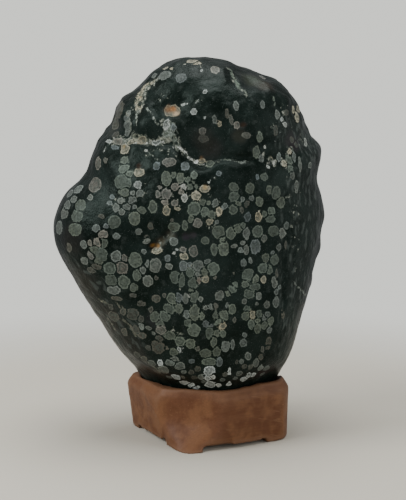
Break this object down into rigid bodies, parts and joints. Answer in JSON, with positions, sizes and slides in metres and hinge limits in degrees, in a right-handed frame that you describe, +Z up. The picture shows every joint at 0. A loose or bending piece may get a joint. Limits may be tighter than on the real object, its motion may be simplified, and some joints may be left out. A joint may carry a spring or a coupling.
{
  "type": "scholar's rock on wooden stand",
  "caption": "Upright water-worn dark green-black stone with pale round spots, resting in the fitted seat of a low carved hardwood stand with corner feet.",
  "frame": {"origin": "centre of the bounding box in X and Y, on the surface that the feet stand on", "axes": "+Z up, +X to the right along the stone's width, and the stone's broad front face looks along -Y; the stand is turned 28 degrees about +Z"},
  "size_m": [0.169, 0.107, 0.2363],
  "materials": {
    "stone": "softly polished, satin; near-black green matrix with pale grey-green spots, cream veins and a few rusty pits",
    "wood": "satin reddish-brown hardwood, hand-carved, mottled, worn lighter along the edges"
  },
  "bodies": {
    "root": {"stone": "stone", "stand": "wood"}
  },
  "joints": []
}
